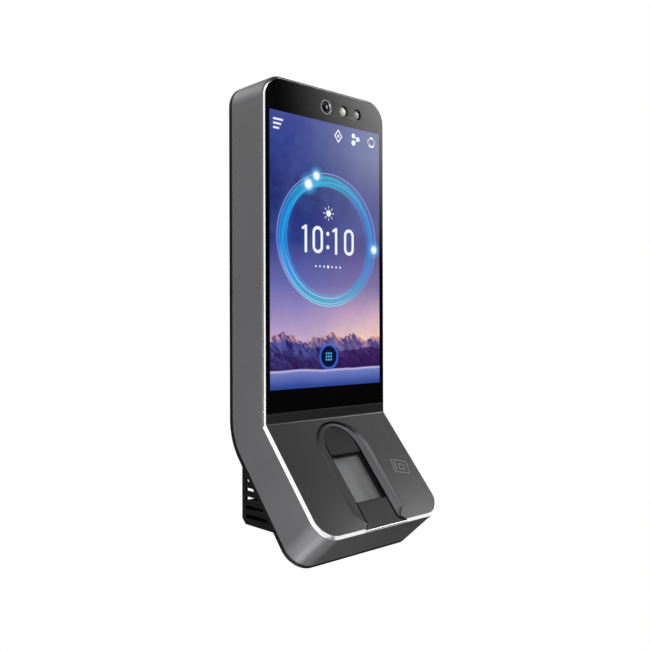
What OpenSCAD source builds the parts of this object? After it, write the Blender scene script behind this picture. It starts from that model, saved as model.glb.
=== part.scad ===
// Wall-mounted fingerprint scanner terminal with a sloped finger-reader foot.
// X runs to the right seen from the front, Y runs into the wall and Z runs up.
// The origin lies on the wall, at the centre of the bracket's anchor holes.

/* [Housing] */
// Width of the housing
body_w = 68.8; // [66:0.2:74]
// Thickness of both slabs, from the front plane to the back of the rear cover
slab_t = 22.4; // [21.4:0.1:24]
// Gap between the back of the rear cover and the wall
wall_gap = 0.7; // [0.5:0.1:1.5]
// Height of the top edge above the origin
top_z = 92.6; // [91:0.1:100]
// Height of the fold between the upright and the sloped face
kink_z = -45; // [-48:0.1:-44]
// Lean of the lower slab, from the vertical
slope_angle = 41; // [36:0.5:44]
// Length of the sloped face, from the fold to the bottom edge
slope_len = 51.4; // [50.5:0.1:56]
// Radius of the four outer corners
corner_r = 9.5; // [8:0.1:11]
// Distance from the fold's sharp corner to where its rounding starts
bend_s = 0.56; // [0.4:0.02:1]
// Thickness of the housing wall
wall_t = 1.8; // [1.6:0.1:2.2]
// Width and depth of the bright chamfer round the front
chamfer = 1.1; // [0.9:0.05:1.2]
// Thickness of the rear cover's visible edge
cover_edge_t = 1.9; // [1.6:0.1:2.2]

/* [Display] */
// Bottom edge of the cover glass
glass_z = -40.9; // [-41.5:0.1:-40]
// Width of the display module, a little more than its 62.1 mm picture
lcd_w = 63.8; // [63:0.1:64]
// Bottom edge of the display module
lcd_z = -36.4; // [-37:0.1:-36]
// Height of the display module
lcd_h = 117.2; // [114:0.1:117.4]
// Height of the camera and lamps in the top border
camera_z = 84.9; // [84.5:0.1:85.5]
// Sideways place of the camera
camera_x = -0.7; // [-3:0.1:3]
// Radius of the camera's metal ring
camera_ring_r = 3.15; // [3:0.05:3.4]
// Sideways places of the status lamp and the infrared lamp
lamp_x = [9.4, 17.4];
// Radius of both lamps
lamp_r = 2.25; // [2:0.05:2.5]

/* [Finger reader] */
// Half width of the finger guide
guide_half_w = 13.8; // [12:0.1:14.5]
// Half width of the channel inside the guide
channel_half_w = 8.9; // [8.5:0.1:10]
// Distance from the fold to the top of the guide's arch
guide_top_s = 1.6; // [1.5:0.1:4]
// Depth of the guide's flat band under the front plane
band_depth = 0.3; // [0.2:0.05:0.5]
// Depth of the channel floor under the front plane
channel_depth = 0.7; // [0.6:0.05:1]
// Half width of the reader opening
reader_half_w = 8.1; // [7.5:0.1:8.3]
// Distances from the fold to the two ends of the reader opening
reader_s = [17, 39.2];

/* [Vent cover] */
// Half width of the vent cover behind the foot
vent_half_w = 27.8; // [26:0.1:28]
// Height of its underside
vent_bottom_z = -88.5; // [-90:0.1:-87]
// Height of its top end
vent_top_z = -54; // [-56:0.5:-52]
// Wall thickness
vent_t = 1.6; // [1.4:0.1:2]
// Number of slots in each side
slot_count = 6; // [3:1:6]
// Distance between slots
slot_pitch = 3.66; // [3.4:0.01:3.7]
// Height of one slot
slot_h = 1.5; // [1:0.1:1.8]
// Top and bottom of the cable opening in the back
cable_opening_z = [-79, -57];

/* [Wall bracket] */
// Sheet thickness
sheet_t = 1.5; // [1.2:0.1:1.5]
// Width of the plate
plate_w = 50; // [46:1:50]
// Bottom and top of the plate
plate_z = [-38, 62];
// Half distances between the four anchor holes, sideways and upright
anchor_half = [19, 30];
// Radius of the anchor holes
anchor_r = 2.2; // [2:0.1:2.4]
// Half width of the leg that reaches down to the lock screw
leg_half_w = 7; // [6:0.5:7]
// Heights of the two pairs of hooks
hook_z = [-8, 46];
// Half distance between the hooks of a pair
hook_x = 17; // [15:0.5:19]
// Width of one hook
hook_w = 8; // [7:0.5:8]
// How far a hook's lip stands up behind the rear cover
hook_lip = 3.4; // [3:0.1:3.6]
// Lift that frees the terminal from its hooks
lift = 4.5; // [4.2:0.1:4.5]

/* [Boards and switches] */
// Half width of the main board
board_half_w = 26.5; // [26:0.1:26.5]
// Bottom and top of the main board
board_z = [-34, 76];
// Place of the tamper switch, sideways and upright
tamper_at = [0, 52];
// Radius of the tamper plunger
plunger_r = 1.5; // [1.3:0.1:1.5]
// Place of the reset switch, sideways and upright
reset_at = [-23, 8];
// Radius of the reset button
reset_r = 1.7; // [1.5:0.1:1.8]

/* [Hidden] */
$fn = 64;
eps = 0.01;
half_w = body_w / 2;
front_y = slab_t + wall_gap;
bend_r = bend_s / tan(slope_angle / 2);
bend_z = kink_z + bend_s;
fold_steps = 12;
corner_step = 5;

// depths under the front plane, front to back
glass_depth = [0.1, 1.2];
ledge_depth = 1.4;
ledge_back = 3.4;
frame_back = 4.6;
board_depth = [8, 9.6];
plug_depth = slab_t - 3.1;
pocket_depth = slab_t - 1.1;
cover_depth = slab_t - cover_edge_t;

// insets from the outer side
pane_inset = chamfer + 0.05;
ledge_inset = 2.4;
gap = 0.05;
clear = 0.3;

board_post_at = [for (x = [-22, 22], z = [-14, 26, 70]) [x, z]];
cover_screw_front = [for (x = [-29.9, 29.9], z = [-34, 22, 78]) [x, z]];
cover_screw_slope = [for (x = [-29.9, 29.9], s = [10, 38]) [x, -s]];
vent_screw_at = [for (x = [-21.5, 21.5]) [x, -30]];
lock_at = [0, -7];
tab_z = -86.4;
tab_front_y = -11;

// world y and z of a point at a depth under the sloped face and a distance from the fold
function slope_yz(depth, s) = [
    -front_y - s * sin(slope_angle) + depth * cos(slope_angle),
    kink_z - s * cos(slope_angle) - depth * sin(slope_angle)
];

// ---- places and sweeps ----

module both_sides() {
    children();
    mirror([1, 0, 0]) children();
}

// x, depth and z measured from the upright front plane
module on_front() translate([0, -front_y, 0]) children();

// x, depth and height above the fold, measured along the sloped face
module on_slope() translate([0, -front_y, kink_z]) rotate([-slope_angle, 0, 0]) children();

// gives a flat x-z outline a thickness between two depths
module layer(from, to) translate([0, to, 0]) rotate([90, 0, 0]) linear_extrude(to - from) children();

// a cylinder along the depth
module peg(at, r, from, to) translate([at[0], to, at[1]]) rotate([90, 0, 0]) cylinder(r = r, h = to - from);

// a box from its limits in x, depth and z
module block(x, y, z) translate([x[0], y[0], z[0]]) cube([x[1] - x[0], y[1] - y[0], z[1] - z[0]]);

// extrudes a y-z outline along x
module along_x(from, to) translate([from, 0, 0]) rotate([90, 0, 90]) linear_extrude(to - from) children();

// an outline with two rounded corners at its far end
module tongue(half, start, end, r) {
    translate([-half, start]) square([2 * half, end - r - start]);
    translate([-half + r, start]) square([2 * (half - r), end - start]);
    for (side = [-1, 1]) translate([side * (half - r), end - r]) circle(r);
}

// a y-z line at one depth, down the upright face, round the fold and down the sloped face
function bent_path(depth, start_z, end_s) = concat(
    [[-front_y + depth, start_z]],
    [for (n = [0:fold_steps]) let (turn = n * slope_angle / fold_steps, r = bend_r + depth)
        [-front_y - bend_r + r * cos(turn), bend_z - r * sin(turn)]],
    [slope_yz(depth, end_s)]
);

function backwards(path) = [for (i = [len(path) - 1:-1:0]) path[i]];

// the two corner pieces that are cut away to leave rounded corners on an edge at z = 0
module round_corners(half, r, from, to) both_sides() difference() {
    block([half - r, half + 1], [from - 1, to + 1], [-1, r]);
    peg([half - r, r], r, from - 2, to + 2);
}

// a plate that follows both slabs; its top is square when it starts below the top edge
module bent_plate(inset, from, to, start = top_z) {
    half = half_w - inset;
    far_z = min(start, top_z - inset);
    far_s = slope_len - inset;
    difference() {
        along_x(-half, half)
            polygon(concat(bent_path(from, far_z, far_s), backwards(bent_path(to, far_z, far_s))));
        if (start == top_z)
            on_front() translate([0, 0, far_z]) mirror([0, 0, 1])
                round_corners(half, corner_r - inset, from, to);
        on_slope() translate([0, 0, -far_s]) round_corners(half, corner_r - inset, from, to);
    }
}

// A station on the rim is its outer front point, its inward direction and its depth direction.
// These run down the left half of the outline, from the top edge to the bottom edge.
left_stations = concat(
    [for (turn = [90:-corner_step:0]) [
        [-half_w + corner_r - corner_r * cos(turn), -front_y, top_z - corner_r + corner_r * sin(turn)],
        [cos(turn), 0, -sin(turn)], [0, 1, 0]
    ]],
    [for (n = [0:fold_steps]) let (turn = n * slope_angle / fold_steps) [
        [-half_w, -front_y - bend_r + bend_r * cos(turn), bend_z - bend_r * sin(turn)],
        [1, 0, 0], [0, cos(turn), -sin(turn)]
    ]],
    [for (turn = [0:corner_step:90]) let (edge = slope_yz(0, slope_len - corner_r + corner_r * sin(turn))) [
        [-half_w + corner_r - corner_r * cos(turn), edge[0], edge[1]],
        [cos(turn), sin(turn) * sin(slope_angle), sin(turn) * cos(slope_angle)],
        [0, cos(slope_angle), -sin(slope_angle)]
    ]]
);
rim_stations = concat(left_stations, mirrored(backwards(left_stations)));

function mirrored(stations) = [for (st = stations) [for (v = st) [-v[0], v[1], v[2]]]];

// sweeps a section of inset and depth points round the whole outline
module rim(section) {
    sides = len(section);
    count = len(rim_stations);
    polyhedron(
        points = [for (st = rim_stations, p = section) st[0] + p[0] * st[1] + p[1] * st[2]],
        faces = [
            for (i = [0:count - 1], j = [0:sides - 1])
                let (next = (i + 1) % count, k = (j + 1) % sides)
                [i * sides + j, i * sides + k, next * sides + k, next * sides + j]
        ]
    );
}

// a screw along the depth; its head rests at head_depth and its shank runs forward
module screw(at, head_depth, head_r, head_h, shank_r, length) {
    difference() {
        peg(at, head_r, head_depth, head_depth + head_h);
        peg(at, head_r * 0.45, head_depth + head_h / 2, head_depth + head_h + 1, $fn = 6);
    }
    peg(at, shank_r, head_depth - length, head_depth);
}

// the outline of the finger guide, an arch that runs off the bottom edge
module arch(half, top_s, end_s) {
    translate([0, -top_s - half]) circle(half);
    translate([-half, -end_s]) square([2 * half, end_s - top_s - half]);
}

module reader_outline(grow) {
    translate([-reader_half_w - grow, -reader_s[1] - grow])
        square([2 * (reader_half_w + grow), reader_s[1] - reader_s[0] + 2 * grow]);
}

// ---- wall bracket ----

module plate_outline() {
    r = 4;
    w = plate_w / 2 - r;
    translate([-w, plate_z[0]]) square([2 * w, plate_z[1] - plate_z[0]]);
    translate([-w - r, plate_z[0] + r]) square([plate_w, plate_z[1] - plate_z[0] - 2 * r]);
    for (x = [-w, w], z = [plate_z[0] + r, plate_z[1] - r]) translate([x, z]) circle(r);
    translate([-leg_half_w, tab_z]) square([2 * leg_half_w, plate_z[0] - tab_z + 1]);
}

module wall_bracket() {
    hook_y = [-5.6, -4.2];
    color("silver") difference() {
        union() {
            layer(-sheet_t, 0) plate_outline();
            for (x = [-hook_x, hook_x], z = hook_z) {
                block([x - hook_w / 2, x + hook_w / 2], [hook_y[0], -sheet_t + eps], [z - 0.75, z + 0.75]);
                block([x - hook_w / 2, x + hook_w / 2], hook_y, [z - 0.75, z + 0.75 + hook_lip]);
            }
            block([-leg_half_w, leg_half_w], [tab_front_y, 0], [tab_z, tab_z + sheet_t]);
        }
        layer(-3, 1) translate([-9, -20]) square([18, 40]);
        for (x = [-1, 1], z = [-1, 1])
            peg([x * anchor_half[0], z * anchor_half[1]], anchor_r, -3, 1);
        translate([lock_at[0], lock_at[1], tab_z - 1]) cylinder(r = 1.7, h = 4);
    }
}

module security_screw() {
    color("dimgray") translate([lock_at[0], lock_at[1], tab_z]) {
        cylinder(r = 1.5, h = 9.6);
        difference() {
            translate([0, 0, -1.8]) cylinder(r = 2.75, h = 1.8);
            translate([0, 0, -2.8]) cylinder(r = 1.3, h = 2, $fn = 6);
        }
    }
}

// ---- shells ----

module main_housing() {
    boss = [9, plug_depth - gap];
    color([0.35, 0.35, 0.37]) difference() {
        union() {
            difference() {
                bent_plate(0, chamfer, cover_depth);
                bent_plate(wall_t, ledge_back, cover_depth + 1);
                bent_plate(ledge_inset, 0, ledge_back + eps);
                bent_plate(pane_inset, 0, ledge_depth);
                difference() {
                    bent_plate(0.5, 0, chamfer + 0.95);
                    bent_plate(pane_inset, -1, chamfer + 2);
                }
            }
            on_front() for (at = cover_screw_front) peg(at, 2.9, boss[0], boss[1]);
            on_slope() for (at = cover_screw_slope) peg(at, 2.9, boss[0], boss[1]);
        }
        on_front() for (at = cover_screw_front) peg(at, 1.3, boss[0] + 1.5, boss[1] + 1);
        on_slope() for (at = cover_screw_slope) peg(at, 1.3, boss[0] + 1.5, boss[1] + 1);
    }
}

module front_trim() {
    notch_half = guide_half_w - 2.1;
    color([0.93, 0.93, 0.93]) difference() {
        rim([
            [chamfer, 0], [0, chamfer], [0.55, chamfer], [0.55, chamfer + 0.9], [chamfer, chamfer + 0.9]
        ]);
        on_slope() block([-notch_half, notch_half], [-1, channel_depth], [-slope_len - 1, 2 - slope_len]);
    }
}

module rear_cover() {
    boss = [plug_depth - 4, plug_depth];
    pocket_half = plate_w / 2 + 0.6;
    color([0.08, 0.08, 0.09]) difference() {
        union() {
            bent_plate(0, cover_depth, slab_t);
            bent_plate(2.7, plug_depth, cover_depth + eps);
            on_slope() for (at = vent_screw_at) peg(at, 2.6, boss[0], boss[1] + eps);
        }
        on_front() {
            block([-pocket_half, pocket_half], [pocket_depth, slab_t + 1],
                [plate_z[0] - lift - 0.6, plate_z[1] + 0.6]);
            for (x = [-hook_x, hook_x], z = hook_z)
                block([x - hook_w / 2 - 0.4, x + hook_w / 2 + 0.4], [plug_depth - 1, slab_t],
                    [z - 0.75 - lift - 0.5, z + 0.75 + gap]);
            peg(tamper_at, plunger_r + clear, plug_depth - 1, slab_t);
            peg(reset_at, 1.1, plug_depth - 1, slab_t);
            for (at = cover_screw_front) {
                peg(at, 1.45, plug_depth - 1, slab_t + 1);
                peg(at, 2.6, pocket_depth, slab_t + 1);
            }
        }
        on_slope() for (at = cover_screw_slope) {
            peg(at, 1.45, plug_depth - 1, slab_t + 1);
            peg(at, 2.6, pocket_depth, slab_t + 1);
        }
        on_slope() for (at = vent_screw_at) peg(at, 1.05, boss[0] + 0.8, slab_t + 1);
        block([-leg_half_w - 0.6, leg_half_w + 0.6], [-sheet_t - 0.4, 1], [-60, plate_z[0]]);
        block([-20, 20], [-12, 1], [-56, -38.6]);
    }
}

module rear_gasket() {
    depth = [plug_depth + 0.2, cover_depth - gap];
    color([0.12, 0.12, 0.12]) difference() {
        bent_plate(wall_t + gap, depth[0], depth[1]);
        bent_plate(2.6, depth[0] - 1, depth[1] + 1);
    }
}

module cover_screws() {
    color("gray") {
        on_front() for (at = cover_screw_front) screw(at, pocket_depth, 2.3, 1, 1.25, 8);
        on_slope() for (at = cover_screw_slope) screw(at, pocket_depth, 2.3, 1, 1.25, 8);
    }
}

// ---- front ----

module front_glass() {
    half = half_w - pane_inset;
    color([0.03, 0.03, 0.04]) on_front() difference() {
        layer(glass_depth[0], glass_depth[1])
            tongue(half, glass_z, top_z - pane_inset, corner_r - pane_inset);
        peg([camera_x, camera_z], camera_ring_r + gap, -1, 3);
    }
}

module glass_tape() {
    half = half_w - pane_inset - gap;
    hole = half_w - ledge_inset + gap;
    color([0.1, 0.1, 0.1]) on_front() difference() {
        layer(glass_depth[1], ledge_depth)
            tongue(half, glass_z + gap, top_z - pane_inset - gap, corner_r - pane_inset - gap);
        layer(0, 3) tongue(hole, lcd_z - 0.6, top_z - ledge_inset + gap, corner_r - ledge_inset + gap);
    }
}

module lcd_panel() {
    color([0.25, 0.3, 0.6]) on_front()
        block([-lcd_w / 2, lcd_w / 2], [glass_depth[1] + gap, 2.05], [lcd_z, lcd_z + lcd_h]);
}

module lcd_backlight() {
    color("whitesmoke") on_front()
        block([-lcd_w / 2, lcd_w / 2], [2.1, ledge_back - 0.1], [lcd_z, lcd_z + lcd_h]);
}

module mid_frame() {
    half = half_w - wall_t - 0.1;
    bar = [glass_z - 0.4, lcd_z - 0.5];
    color([0.55, 0.56, 0.58]) on_front() difference() {
        union() {
            block([-half, half], [ledge_back, frame_back], [bar[0], lcd_z + lcd_h - 1]);
            block([0.1 - half_w + ledge_inset, half_w - ledge_inset - 0.1],
                [ledge_depth, ledge_back + eps], bar);
            for (at = board_post_at) peg(at, 2.4, frame_back - eps, board_depth[0]);
        }
        for (at = board_post_at) peg(at, 1.05, frame_back + 0.2, board_depth[0] + 1);
        block([9, 25], [2, frame_back + 1], [bar[0] - 1, bar[1] + eps]);
        for (z = [-8, 30]) block([-16, 16], [ledge_back - 1, frame_back + 1], [z, z + 26]);
    }
}

module lower_front_panel() {
    depth = [0.1, 1.3];
    color([0.3, 0.3, 0.32]) difference() {
        bent_plate(pane_inset, depth[0], depth[1], glass_z - 0.1);
        on_slope() layer(-1, 3) arch(guide_half_w + gap, guide_top_s - gap, slope_len);
    }
}

// ---- finger reader ----

module finger_guide() {
    thin = [band_depth, ledge_depth - gap];
    end_s = [slope_len - ledge_inset - 0.1, slope_len - pane_inset];
    color([0.3, 0.3, 0.32]) on_slope() difference() {
        union() {
            layer(thin[0], thin[1]) arch(guide_half_w, guide_top_s, end_s[1]);
            layer(thin[1] - eps, 3.2) arch(guide_half_w, guide_top_s, end_s[0]);
        }
        layer(-1, channel_depth) arch(channel_half_w, guide_top_s + 2, slope_len + 1);
        layer(-1, 5) reader_outline(0);
    }
}

module sensor_bezel() {
    color([0.06, 0.06, 0.07]) on_slope() difference() {
        layer(1.3, 2.4) reader_outline(-gap);
        layer(0, 4) reader_outline(-0.8);
    }
}

module sensor_window() {
    color([0.5, 0.52, 0.54]) on_slope() layer(2.45, 3.25) reader_outline(-gap);
}

module sensor_prism() {
    color([0.7, 0.74, 0.78]) on_slope() layer(3.35, 9.4) reader_outline(-0.8);
}

module sensor_housing() {
    color([0.1, 0.1, 0.1]) on_slope() difference() {
        layer(3.3, 12.2) reader_outline(2);
        layer(2, 11.2) reader_outline(0);
    }
}

module sensor_board() {
    color("darkgreen") on_slope() layer(12.25, 13.45) reader_outline(4);
}

module rfid_board() {
    color("darkgreen") on_slope() block([15.5, 31.4], [2, 3], [-40, -6]);
}

module rfid_coil() {
    color("peru") on_slope() for (turn = [0:2]) difference() {
        inset = 0.6 + 1.3 * turn;
        block([15.5 + inset, 31.4 - inset], [1.75, 2], [-40 + inset, -6 - inset]);
        block([16.2 + inset, 30.7 - inset], [1, 3], [-39.3 + inset, -6.7 - inset]);
    }
}

module speaker() {
    color([0.15, 0.15, 0.15]) on_slope() difference() {
        block([-31, -16], [3.6, 8.2], [-37, -14]);
        translate([-23.5, 3, -25.5]) rotate([-90, 0, 0]) cylinder(r = 6, h = 2);
    }
}

// ---- camera and lamps ----

module camera_board() {
    color("darkgreen") on_front() block([-14, 25], [ledge_back, 4.4], [81, 90.7]);
}

module camera_module() {
    color([0.1, 0.1, 0.1]) on_front() {
        block([camera_x - 3.9, camera_x + 3.9], [2, ledge_back], [camera_z - 3.9, camera_z + 3.9]);
        peg([camera_x, camera_z], 2.8, 1.3, 2 + eps);
    }
}

module camera_ring() {
    color("silver") on_front() difference() {
        peg([camera_x, camera_z], camera_ring_r, 0, 1.15);
        peg([camera_x, camera_z], camera_ring_r - 0.85, -1, 3);
    }
}

module camera_lens() {
    color([0.05, 0.05, 0.12]) on_front() peg([camera_x, camera_z], camera_ring_r - 0.9, 0.3, 1.2);
}

module lamp(x) {
    on_front() {
        peg([x, camera_z], lamp_r, 1.25, 2.4);
        block([x - 1.6, x + 1.6], [2.4 - eps, ledge_back], [camera_z - 1.6, camera_z + 1.6]);
    }
}

module status_led() {
    color("ivory") lamp(lamp_x[0]);
}

module infrared_led() {
    color([0.4, 0.4, 0.4]) lamp(lamp_x[1]);
}

// ---- main board ----

module main_board() {
    color("darkgreen") on_front() difference() {
        block([-board_half_w, board_half_w], board_depth, board_z);
        block([-8.2, 8.2], [0, 20], [board_z[0] - 1, -17.6]);
        for (at = board_post_at) peg(at, 1.2, 0, 20);
    }
}

module board_screws() {
    color("gray") on_front() for (at = board_post_at) screw(at, board_depth[1], 1.9, 1.1, 1, 4.2);
}

module processor_shield() {
    color("gainsboro") on_front() difference() {
        block([-14, 12], [board_depth[1], 11.8], [16, 42]);
        block([-13.6, 11.6], [board_depth[1] - 1, 11.4], [16.4, 41.6]);
    }
}

module radio_module() {
    color("silver") on_front() {
        block([-24, -10], [board_depth[1], 10.4], [50, 68]);
        block([-23, -11], [10.4 - eps, 12], [51, 62]);
    }
}

module coin_cell_holder() {
    color([0.1, 0.1, 0.1]) on_front() difference() {
        block([7, 21], [board_depth[1], 12.2], [49, 63]);
        peg([14, 56], 6.4, 10.2, 14);
    }
}

module coin_cell() {
    color("silver") on_front() peg([14, 56], 6.2, 10.25, 12.2);
}

module relay() {
    color("navy") on_front() block([12, 24], [board_depth[1], 16.6], [-8, 8]);
}

module ethernet_jack() {
    color("silver") on_front() difference() {
        block([-8, 8], [5.6, 18.6], [-35, -18]);
        block([-5.9, 5.9], [8, 16.2], [-36, -22]);
        block([-3.2, 3.2], [6.6, 8 + eps], [-36, -26]);
    }
}

module terminal_blocks() {
    color("green") both_sides() on_front() difference() {
        block([10.2, 25.8], [board_depth[1], 18.1], [-34, -25]);
        for (n = [0:3]) translate([12.3 + 3.8 * n, 13, -35]) cylinder(r = 1.3, h = 6);
        for (n = [0:3]) peg([12.3 + 3.8 * n, -29.5], 1.35, 15.5, 19);
    }
}

module terminal_screws() {
    color("silver") both_sides() on_front() for (n = [0:3]) difference() {
        peg([12.3 + 3.8 * n, -29.5], 1.25, 15.55, 17.4);
        block([12 + 3.8 * n, 12.6 + 3.8 * n], [16.8, 18], [-31, -28]);
    }
}

module ribbon_connectors() {
    color("ivory") on_front() {
        block([10, 24], [6.4, board_depth[0]], [-33.5, -30]);
        block([-24, -12], [6.4, board_depth[0]], [-33.5, -30]);
    }
}

// the side step of a flat cable at one point of its path
function side_step(path, i, thick) =
    let (ahead = path[min(i + 1, len(path) - 1)] - path[max(i - 1, 0)])
    [-ahead[1], ahead[0]] * thick / norm(ahead);

// a flat cable along a y-z path
module ribbon(path, thick, from, to) {
    last = len(path) - 1;
    along_x(from, to)
        polygon(concat(path, backwards([for (i = [0:last]) path[i] + side_step(path, i, thick)])));
}

module lcd_ribbon() {
    color("darkorange") on_front() ribbon(
        [[2.3, lcd_z - 0.05], [2.3, -39], [3.6, -40.2], [6, -38.6], [7.2, -36], [7.2, -33.55]],
        0.25, 11, 23);
}

module sensor_ribbon() {
    top = [-front_y + 7.2, -33.55];
    color("darkorange") ribbon(
        [top, [top[0], -40], slope_yz(12.6, 2), slope_yz(13.6, 8), slope_yz(13.6, 20)],
        0.25, -23, -13);
}

// ---- switches ----

module tamper_switch() {
    color([0.12, 0.12, 0.12]) on_front() difference() {
        block([tamper_at[0] - 3.4, tamper_at[0] + 3.4], [board_depth[1], 15.6],
            [tamper_at[1] - 3.4, tamper_at[1] + 3.4]);
        peg(tamper_at, plunger_r + clear, 11.6, 17);
    }
}

module tamper_plunger() {
    tip_depth = front_y - sheet_t - 0.1;
    color("white") on_front() peg(tamper_at, plunger_r, 13.3, tip_depth);
}

module reset_switch() {
    color([0.2, 0.2, 0.2]) on_front() difference() {
        block([reset_at[0] - 3, reset_at[0] + 3], [board_depth[1], 13.1],
            [reset_at[1] - 3, reset_at[1] + 3]);
        peg(reset_at, reset_r + clear, 11.2, 14);
    }
}

module reset_button() {
    color("red") on_front() peg(reset_at, reset_r, 12, 14.8);
}

// ---- vent cover and lock ----

// everything in front of the rear cover's back face, as one y-z outline
module slab_keep_out(grow) {
    along_x(-half_w, half_w) {
        translate([-front_y - bend_r, bend_z]) circle(r = bend_r + slab_t + grow, $fn = 128);
        polygon([
            slope_yz(slab_t + grow, bend_s), slope_yz(slab_t + grow, slope_len + 20),
            slope_yz(-20, slope_len + 20), slope_yz(-20, bend_s)
        ]);
    }
}

// the wedge between the slab and the wall, shrunk by a wall thickness
module vent_wedge(shrink) {
    cut = 2.2;
    along_x(-vent_half_w + shrink, vent_half_w - shrink) polygon([
        [-shrink, vent_top_z - shrink], [-shrink, vent_bottom_z + cut],
        [-shrink - cut, vent_bottom_z + shrink], [-40, vent_bottom_z + shrink], [-40, vent_top_z - shrink]
    ]);
}

module vent_cover() {
    slot_y = -1.95;
    first_slot_z = vent_bottom_z + 2.8;
    inner_half = vent_half_w - vent_t - 0.2;
    pocket_half = leg_half_w + 0.5;
    color([0.09, 0.09, 0.1]) difference() {
        union() {
            difference() {
                vent_wedge(0);
                vent_wedge(vent_t);
            }
            intersection() {
                vent_wedge(0);
                union() {
                    on_slope() for (at = vent_screw_at) peg(at, 3, slab_t, slab_t + 16);
                    translate([lock_at[0], lock_at[1], tab_z + 1]) cylinder(r = 3.6, h = 9.4);
                    block([-pocket_half - 1.6, pocket_half + 1.6], [tab_front_y - 2, -sheet_t - 0.4],
                        [vent_bottom_z, tab_z + sheet_t + 2.3]);
                }
            }
        }
        slab_keep_out(gap);
        for (n = [0:slot_count - 1]) {
            z = first_slot_z + n * slot_pitch;
            reach = slope_yz(slab_t, 0)[0] - (slope_yz(slab_t, 0)[1] - z) * tan(slope_angle) + 2;
            both_sides()
                block([-half_w, vent_t - vent_half_w + 0.1], [reach, slot_y], [z, z + slot_h]);
        }
        block([-inner_half, inner_half], [-vent_t - 1, 1], cable_opening_z);
        block([-pocket_half, pocket_half], [-sheet_t - 0.4, 1], [vent_bottom_z - 1, vent_top_z + 1]);
        block([-pocket_half, pocket_half], [tab_front_y - 0.5, 1],
            [vent_bottom_z - 1, tab_z + sheet_t + 0.3]);
        translate([lock_at[0], lock_at[1], tab_z]) cylinder(r = 2.35, h = 20);
        on_slope() for (at = vent_screw_at) {
            peg(at, 1.25, slab_t - 1, slab_t + 20);
            peg(at, 2.2, slab_t + 5, slab_t + 20);
        }
    }
}

module vent_cover_screws() {
    color("gray") on_slope() for (at = vent_screw_at) screw(at, slab_t + 5, 2, 1.2, 1, 10);
}

module lock_insert() {
    color("goldenrod") translate([lock_at[0], lock_at[1], tab_z + sheet_t + 0.6]) difference() {
        cylinder(r = 2.3, h = 6.5);
        translate([0, 0, -1]) cylinder(r = 1.8, h = 10);
    }
}

wall_bracket();
security_screw();
main_housing();
front_trim();
front_glass();
glass_tape();
lcd_panel();
lcd_backlight();
mid_frame();
lower_front_panel();
finger_guide();
sensor_bezel();
sensor_window();
sensor_prism();
sensor_housing();
sensor_board();
rfid_board();
rfid_coil();
speaker();
camera_board();
camera_module();
camera_ring();
camera_lens();
status_led();
infrared_led();
main_board();
processor_shield();
radio_module();
coin_cell_holder();
coin_cell();
relay();
ethernet_jack();
terminal_blocks();
terminal_screws();
ribbon_connectors();
lcd_ribbon();
sensor_ribbon();
tamper_switch();
tamper_plunger();
reset_switch();
reset_button();
board_screws();
rear_cover();
rear_gasket();
cover_screws();
vent_cover();
vent_cover_screws();
lock_insert();
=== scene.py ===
"""Fingerprint scanner terminal: the visible shells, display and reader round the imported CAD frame.

Shapes are worked out in millimetres and scaled to metres when a mesh is made.
X is right, Y goes into the wall and Z is up.
"""
import math

import bmesh
import bpy
from mathutils import Matrix, Vector


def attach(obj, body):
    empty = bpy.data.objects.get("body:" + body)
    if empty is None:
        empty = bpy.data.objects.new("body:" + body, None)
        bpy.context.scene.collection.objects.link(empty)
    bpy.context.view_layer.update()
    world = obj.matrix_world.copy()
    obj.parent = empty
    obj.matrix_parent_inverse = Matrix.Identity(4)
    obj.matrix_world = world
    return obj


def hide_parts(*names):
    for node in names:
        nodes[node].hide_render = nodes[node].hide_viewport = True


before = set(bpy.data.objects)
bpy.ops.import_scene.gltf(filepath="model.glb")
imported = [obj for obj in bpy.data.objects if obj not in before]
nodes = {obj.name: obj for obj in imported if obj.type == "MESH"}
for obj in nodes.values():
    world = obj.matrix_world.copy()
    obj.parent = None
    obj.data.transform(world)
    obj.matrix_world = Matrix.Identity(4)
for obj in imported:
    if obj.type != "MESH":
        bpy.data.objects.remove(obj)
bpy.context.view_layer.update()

MM = 0.001

# ---- the object's main measures, in millimetres, as in part.scad ----

HALF_W = 34.4
FRONT_Y = 23.1
TOP_Z = 92.6
KINK_Z = -45.0
SLOPE = math.radians(41)
SLOPE_LEN = 51.4
CORNER_R = 9.5
BEND_S = 0.56
BEND_R = BEND_S / math.tan(SLOPE / 2)
BEND_Z = KINK_Z + BEND_S
BEND_RUN = BEND_R * SLOPE
COVER_DEPTH = 20.5
PANE_INSET = 1.15
PANE_END_S = SLOPE_LEN - PANE_INSET
GLASS_Z = -40.9
CAMERA = (-0.7, 84.9)
LAMP_X = (9.4, 17.4)
LAMP_R = 2.25
GUIDE_HALF, GUIDE_TOP = 13.8, 1.6
GUIDE_CENTRE_S = GUIDE_TOP + GUIDE_HALF
CHANNEL_HALF, CHANNEL_TOP = 8.9, 3.6
READER_S = (17.0, 39.2)
WAIST_S, TAPER_S = 48.4, 44.2  # where the guide is narrowest, and where it starts to narrow
WAIST_HALF, GUIDE_FLARE, CHANNEL_FLARE = 9.1, 2.55, 2.5


# ---- places ----

def on_front(x, depth, z):
    return Vector((x, -FRONT_Y + depth, z))


def on_slope(x, depth, s):
    """A point at a depth under the sloped face, s millimetres below the fold."""
    return Vector((
        x,
        -FRONT_Y - s * math.sin(SLOPE) + depth * math.cos(SLOPE),
        KINK_Z - s * math.cos(SLOPE) - depth * math.sin(SLOPE),
    ))


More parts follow.
